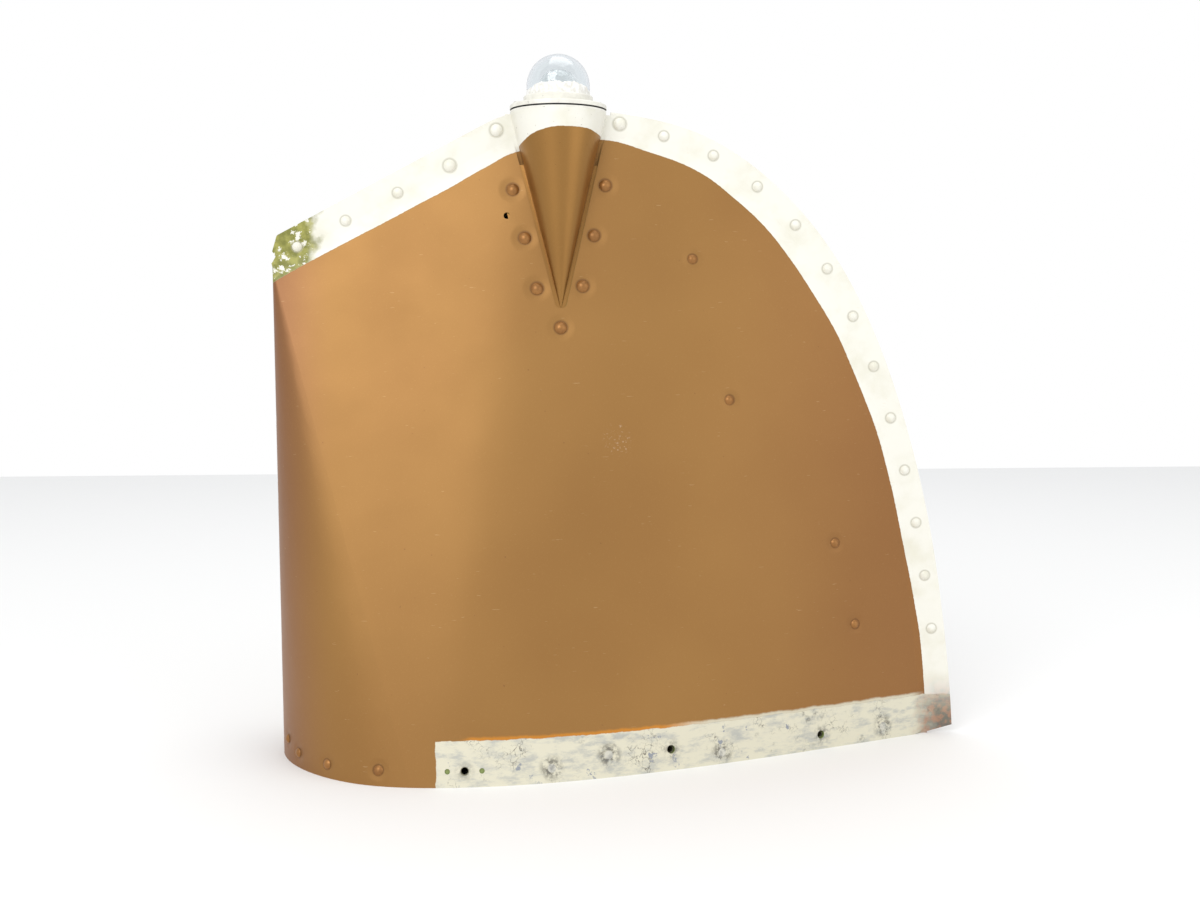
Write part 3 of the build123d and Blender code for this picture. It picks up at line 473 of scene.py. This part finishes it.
def plain_finish(name, first, second, rough, metal=0.0, size=8.0, grain=0.02, chips=None):
    """Two near colours in soft patches of a size, fine grain of a depth and, if given, chips.

    Chips are a colour, a size in millimetres and the noise level above which they show.
    """
    f = Finish(name)
    colour = f.add("Mix", patches(f, size, 0.35, 0.68), linear(first), linear(second), **COLOUR)
    if chips:
        chip_colour, chip_size, chip_level = chips
        chipped_off = patches(f, chip_size, chip_level, chip_level + 0.03, rough=0.7)
        colour = f.add("Mix", chipped_off, colour, linear(chip_colour), **COLOUR)
    fine = f.add("TexNoise", f.place, across(size / 6), 3, SOFT)
    relief = f.add("Bump", Height=fine, Distance=grain * MM)
    shine = f.add("TexNoise", f.place, across(size * 2), 3, SOFT)
    rough = f.add("Math", shine, 0.15, rough - 0.07, operation="MULTIPLY_ADD")
    f.set(Base_Color=colour, Roughness=rough, Normal=relief, Metallic=metal)
    return f.material


def glass_finish(name, tint):
    """Clear lamp glass, with a faint film that dulls it in patches and the slow waves of moulding."""
    f = Finish(name)
    film = f.add("Math", patches(f, 6, 0.5, 0.8), 0.06, operation="MULTIPLY")
    waves = f.add("Bump", Height=f.add("TexNoise", f.place, across(9), 2, SOFT), Distance=0.01 * MM)
    f.set(Base_Color=linear(tint), Roughness=film, IOR=1.49, Transmission_Weight=1.0, Normal=waves)
    return f.material


def dress(name, material):
    """Give a CAD node its material."""
    mesh = nodes[name].data
    mesh.materials.clear()
    mesh.materials.append(material)


def new_piece(name, points, faces, material, slot, smooth=True):
    """A new mesh piece from points in millimetres, riding on the one body."""
    mesh = bpy.data.meshes.new(name)
    mesh.from_pydata((np.asarray(points) * MM).tolist(), [], [list(map(int, face)) for face in faces])
    mesh.materials.append(material)
    mesh.polygons.foreach_set("use_smooth", [smooth] * len(mesh.polygons))
    piece = bpy.data.objects.new(name, mesh)
    bpy.context.scene.collection.objects.link(piece)
    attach(piece, "root")
    return piece


def grid_faces(rows, columns, close_rows=False, close_columns=False):
    """Quads of a grid of points, numbered row by row, joined round where asked."""
    row_steps = np.arange(rows - (not close_rows))
    column_steps = np.arange(columns - (not close_columns))
    r, c = np.meshgrid(row_steps, column_steps, indexing="ij")
    down, right = (r + 1) % rows, (c + 1) % columns
    corners = [r * columns + c, r * columns + right, down * columns + right, down * columns + c]
    return np.stack(corners, axis=-1).reshape(-1, 4)


def turned(profile, around=96):
    """Closed profile of (radius, z) turned about the light's axis: x = LIGHT_X + r cos t, y = r sin t."""
    t = np.linspace(0, 2 * math.pi, around, endpoint=False)
    r, z = np.array(profile).T
    x, y = LIGHT_X + r[:, None] * np.cos(t), r[:, None] * np.sin(t)
    points = np.stack([x, y, np.repeat(z[:, None], around, 1)], axis=-1)
    return points.reshape(-1, 3), grid_faces(len(profile), around, True, True)


def tube(path, radius, around=10):
    """Round tube: at each point of the path a ring square to it, at a radius, and a fan over each end."""
    path = np.asarray(path, float)
    way = np.gradient(path, axis=0)
    way /= np.linalg.norm(way, axis=1)[:, None]
    side = np.cross(way, np.where(np.abs(way[:, :1]) < 0.9, [[1.0, 0, 0]], [[0, 1.0, 0]]))
    side /= np.linalg.norm(side, axis=1)[:, None]
    up = np.cross(way, side)
    t = np.linspace(0, 2 * math.pi, around, endpoint=False)[None, :, None]
    rings = path[:, None] + radius * (np.cos(t) * side[:, None] + np.sin(t) * up[:, None])
    points = np.concatenate([rings.reshape(-1, 3), path[:1], path[-1:]])
    body = grid_faces(len(path), around, False, True)
    end = (len(path) - 1) * around
    first, last = end + around, end + around + 1
    caps = [[first, (k + 1) % around, k] for k in range(around)]
    caps += [[last, end + k, end + (k + 1) % around] for k in range(around)]
    return points, [*body.tolist(), *caps]


def bulb_outline(inset):
    """Outline of the bulb moved in by inset: (radius, z) up the neck, then round the globe's arc."""
    middle = BULB_TOP - BULB_RADIUS
    radius, neck = BULB_RADIUS - inset, BULB_NECK - inset
    start = math.asin(neck / radius)
    arc = [(radius * math.sin(t), middle - radius * math.cos(t)) for t in np.linspace(start, math.pi, 28)]
    return [(neck, BULB_LOW)] + arc


def bulb_globe():
    """Thin wall turned from the outer outline up and the inner one down, with a tiny hole as pole."""
    outer, inner = bulb_outline(0), bulb_outline(BULB_WALL)
    poles = [(POLE, BULB_TOP), (POLE, BULB_TOP - BULB_WALL)]
    return turned(outer[:-1] + poles + inner[:-1][::-1])


def pod_seal(way):
    """Strip in the slot fore (way -1) or aft (way 1) of the light, its ends flat.

    At each level it spans in x from the cone's radius, which grows evenly from its tip, to the notch's cut
    edge, read off three levels, and in y from one face of the seam to the other.
    """
    level = np.linspace(SEAL_LOW, SEAL_TOP, SEAL_ROWS)
    cone = CONE_RADIUS * (level - CONE_TIP) / (CONE_RING - CONE_TIP) - CONE_LAP
    notch = np.interp(level, NOTCH_LEVELS, NOTCH_REACH) + NOTCH_LAP
    first, second = (cone, notch) if way > 0 else (notch, cone)
    corners = [(first, -1), (second, -1), (second, 1), (first, 1)]
    columns = [
        np.stack([LIGHT_X + way * reach, 0 * level + hand * SEAL_HALF, level], axis=-1)
        for reach, hand in corners
    ]
    end = 4 * (SEAL_ROWS - 1)
    caps = [[3, 2, 1, 0], [end, end + 1, end + 2, end + 3]]
    faces = [*grid_faces(SEAL_ROWS, 4, False, True).tolist(), *caps]
    return np.stack(columns, axis=1).reshape(-1, 3), faces


def paint_mist():
    """Thin closed shell over the lens's lower part, up to a ragged edge that is highest at the front.

    The edge is a hump, one less the square of the turn away from the front, plus a sum of sine waves.
    Rows rise evenly from the foot to it, at the dome's own radius plus a lift that thins out at the edge,
    outside first and then back down close to the glass.
    """
    around = np.linspace(0, 2 * math.pi, MIST_AROUND, endpoint=False)
    from_front = np.abs((around + math.pi / 2 + math.pi) % (2 * math.pi) - math.pi)
    ragged = sum(a * np.sin(k * around + k * k) for a, k in MIST_WAVES)
    hump = np.clip(1 - (from_front / MIST_SPREAD) ** 2, 0, 1)
    edge = MIST_SIDE + (MIST_FRONT - MIST_SIDE) * hump + MIST_RAGGED * ragged
    share = np.linspace(0, 1, MIST_ROWS)[:, None]
    height = MIST_LOW + (edge - MIST_LOW) * share
    dome_middle = LENS_TOP - LENS_RADIUS
    dome = np.sqrt(LENS_RADIUS ** 2 - np.maximum(height - dome_middle, 0) ** 2)
    faces = []
    for lift in (0.01 + 0 * share, 0.03 + 0.07 * (1 - share ** 4)):
        x, y = LIGHT_X + (dome + lift) * np.cos(around), (dome + lift) * np.sin(around)
        faces.append(np.stack([x, y, height], axis=-1))
    points = np.concatenate([faces[1], faces[0][::-1]]).reshape(-1, 3)
    return points, grid_faces(2 * MIST_ROWS, MIST_AROUND, True, True)


def bulb_stem():
    """Glass stem turned from its foot, which flares out, to its blunt top."""
    return turned([
        (POLE, BULB_LOW + 0.3), (4.2, BULB_LOW + 0.3), (2.6, BULB_LOW + 2.2), (1.7, BULB_LOW + 4.2),
        (1.9, STEM_TOP), (POLE, STEM_TOP),
    ], 40)


def filament():
    """Wire along a helix whose axis runs level between the leads: y = r cos t, z = height + r sin t."""
    share = np.linspace(0, 1, COIL_TURNS * STEPS_PER_TURN)
    t = COIL_TURNS * 2 * math.pi * share
    x = LIGHT_X - COIL_HALF + 2 * COIL_HALF * share
    path = np.stack([x, COIL_RADIUS * np.cos(t), COIL_HEIGHT + COIL_RADIUS * np.sin(t)], axis=-1)
    return tube(path, FILAMENT_RADIUS, 8)


def lead(way):
    """Wire from inside the stem up and out to one end of the filament."""
    bends = (
        (1.1, STEM_TOP - 3.0), (1.1, STEM_TOP), (1.5, STEM_TOP + 1.0), (2.6, STEM_TOP + 2.6),
        (COIL_HALF, COIL_HEIGHT - 0.8), (COIL_HALF + 0.1, COIL_HEIGHT + 0.6),
    )
    return tube([(LIGHT_X + way * x, 0, z) for x, z in bends], LEAD_RADIUS, 10)


# Where the skin's finish finds rivets and holes
flank_rivets = side_spots("pod_rivets", LARGE_HEAD) + side_spots("spreader_rivets", SMALL_HEAD)
flank_rivets += side_spots("nose_rivets", SMALL_HEAD)
seam_rivets = seam_spots("seam_rivets", SMALL_HEAD) + seam_spots("large_seam_rivets", LARGE_HEAD)
strip_holes = side_spots("flush_rivets") + side_spots("nut_plates")
skin = skin_finish(flank_rivets, seam_rivets, strip_holes)
pods = pod_finish()

# Enamel over rivet heads: a small soft highlight on each dome
bronze_rivet = plain_finish("Bronze enamel over domed rivet heads", "#A06F3A", "#8F6233", 0.38, 0.55, 5)
cream_rivet = plain_finish("Cream enamel over domed rivet heads", CREAM, CREAM_SHADE, 0.42, size=6)

# Handled enamel on the light: bright, with grey chips down to the metal
flange_chips = ("#7C7B78", 2.2, 0.66)
cream_light = plain_finish(
    "Cream enamel on the light's flange, chipped to grey", CREAM, "#DDDACF", 0.42, 0.0, 6, 0.06, flange_chips,
)
screw_chips = ("#77736C", 1.6, 0.55)
chipped = plain_finish(
    "Chipped cream enamel on steel screws", CREAM, "#CFCBC0", 0.4, 0.0, 3, 0.06, screw_chips,
)

# Inner parts: flat green primer, and plate with a dull grey-gold shine
primed = plain_finish("Green zinc primer on inner sheet parts", PRIMER, PRIMER_SHADE, 0.65, size=20)
plated = plain_finish("Dull cadmium plate on steel", "#9A9683", "#B3AD97", 0.45, 0.85, 6)

# Flush rivets filled over: pale, half metal and half filler
weathered = plain_finish("Weathered aluminium rivet and filler", "#CFCCBF", "#9C9B95", 0.5, 0.3, 2, 0.04)

# Parts of the light: a black, matt gasket that gives the painted shadow of the gap under the flange; under
# the glass, warm and shiny, dark red and dull
gasket_and_gap_shadow = plain_finish("Black gasket, dark as the painted shadow under the flange", "#171615", "#24211E", 0.85, size=3, grain=0.05)
brass = plain_finish("Tarnished brass lamp cap", "#A98B4C", "#8C7038", 0.35, 1.0, 5, 0.01)
fibre = plain_finish("Red fibre insulator", "#5C2E1B", "#6E3A22", 0.7, size=3)

# Glass bends what is behind it, and the chalky mist on it hides that
lens_glass = glass_finish("Clear moulded lamp lens glass", "#F7FAFA")
bulb_glass = glass_finish("Clear bulb glass", "#F9FBFB")
mist_gaps = ("#8A8880", 1.4, 0.7)
overspray = plain_finish(
    "Thin chalky cream overspray on glass", "#F4F3EE", "#DEDBD2", 0.55, 0.0, 2, 0.05, mist_gaps,
)

# Bare wire: grey and shiny
tungsten = plain_finish("Tungsten filament and nickel leads", "#5B5A57", "#777571", 0.35, 1.0, 1, 0.005)

for name, material in {
    "folded_skin": skin, "near_pod": pods, "far_pod": pods, "nose_former": primed, "near_doubler": primed,
    "far_doubler": primed, "mid_spreader": primed, "aft_spreader": primed, "nut_plates": plated,
    "nut_rivets": weathered, "seam_rivets": cream_rivet, "large_seam_rivets": cream_rivet,
    "pod_rivets": bronze_rivet, "spreader_rivets": bronze_rivet, "nose_rivets": bronze_rivet,
    "flush_rivets": weathered, "light_bracket": cream_light, "clinch_nuts": plated, "light_gasket": gasket_and_gap_shadow,
    "light_base": cream_light, "light_screws": chipped, "lens_retainer": cream_light,
    "clear_lens": lens_glass, "bulb_glass": bulb_glass, "bulb_base": brass, "lamp_socket": plated,
    "socket_insulator": fibre, "lamp_contact": brass,
}.items():
    dress(name, material)

# Thin walled bulb globe in place of the solid one
globe = new_piece("bulb_globe", *bulb_globe(), bulb_glass, "bulb_glass")
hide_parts("bulb_glass")

# Painted sealant, paint mist, and what the bulb holds
new_piece("fore_pod_seal", *pod_seal(-1), skin, "bronze_paint", False)
new_piece("aft_pod_seal", *pod_seal(1), skin, "bronze_paint", False)
new_piece("lens_paint_mist", *paint_mist(), overspray, "white_paint")
new_piece("bulb_stem", *bulb_stem(), bulb_glass, "bulb_glass")
new_piece("bulb_filament", *filament(), tungsten, "plated_steel")
new_piece("bulb_lead_a", *lead(-1), tungsten, "plated_steel")
new_piece("bulb_lead_b", *lead(1), tungsten, "plated_steel")

# Camera where the photographer stood, its lens worked out from the photo's width in pixels
CAMERA_SPOT = (-75.3, -726.9, 211.4)
CAMERA_YAW = math.radians(5.0)
CAMERA_PITCH = math.radians(4.8)
SENSOR_WIDTH = 36
FOCAL_PIXELS, PHOTO_PIXELS = 1445, 1200
camera_data = bpy.data.cameras.new("photographer")
camera_data.sensor_width = SENSOR_WIDTH
camera_data.lens = SENSOR_WIDTH * FOCAL_PIXELS / PHOTO_PIXELS
camera = bpy.data.objects.new("photographer", camera_data)
bpy.context.scene.collection.objects.link(camera)
camera.location = Vector(CAMERA_SPOT) * MM
ahead = math.cos(CAMERA_PITCH)
aim = Vector((math.sin(CAMERA_YAW) * ahead, math.cos(CAMERA_YAW) * ahead, -math.sin(CAMERA_PITCH)))
camera.rotation_euler = aim.to_track_quat("-Z", "Y").to_euler()
bpy.context.scene.camera = camera

# Pale floor, in metres
FLOOR_CORNERS = [(-3, -1.5, 0), (3, -1.5, 0), (3, 1.4, 0), (-3, 1.4, 0)]
floor_finish = Finish("Pale studio floor")
floor_finish.set(Base_Color=linear("#EFEEEB"), Roughness=0.9)
floor_mesh = bpy.data.meshes.new("floor")
floor_mesh.from_pydata(FLOOR_CORNERS, [], [(0, 1, 2, 3)])
floor_mesh.materials.append(floor_finish.material)
floor = bpy.data.objects.new("floor", floor_mesh)
bpy.context.scene.collection.objects.link(floor)


def soft_box(name, spot, target, size, power):
    """A square area light at spot, aimed at target, with its size in metres and its power in watts."""
    data = bpy.data.lights.new(name, "AREA")
    data.shape = "SQUARE"
    data.size = size
    data.energy = power
    lamp = bpy.data.objects.new(name, data)
    lamp.location = spot
    lamp.rotation_euler = (Vector(target) - Vector(spot)).to_track_quat("-Z", "Y").to_euler()
    bpy.context.scene.collection.objects.link(lamp)


# Soft studio light, from the left, the right and above
soft_box("key", (-0.75, -1.3, 1.15), (0, 0, 0.16), size=0.9, power=11)
soft_box("fill", (1.3, -1.2, 0.8), (0, 0, 0.16), size=1.2, power=4)
soft_box("top", (0.1, 0.2, 1.7), (0, 0, 0.2), size=1.2, power=6)

# Pale surroundings that light the part, and plain white where the camera looks past it
SKY_STRENGTH = 0.95
world = bpy.data.worlds.new("studio")
bpy.context.scene.world = world
world.use_nodes = True
sky = world.node_tree
light = sky.nodes["Background"]
light.inputs["Color"].default_value = linear("#F4F6FA")
light.inputs["Strength"].default_value = SKY_STRENGTH
white = sky.nodes.new("ShaderNodeBackground")
white.inputs["Color"].default_value = (1, 1, 1, 1)
ray = sky.nodes.new("ShaderNodeLightPath")
either = sky.nodes.new("ShaderNodeMixShader")
sky.links.new(ray.outputs["Is Camera Ray"], either.inputs[0])
sky.links.new(light.outputs[0], either.inputs[1])
sky.links.new(white.outputs[0], either.inputs[2])
sky.links.new(either.outputs[0], sky.nodes["World Output"].inputs[0])
bpy.context.scene.view_settings.view_transform = "Standard"
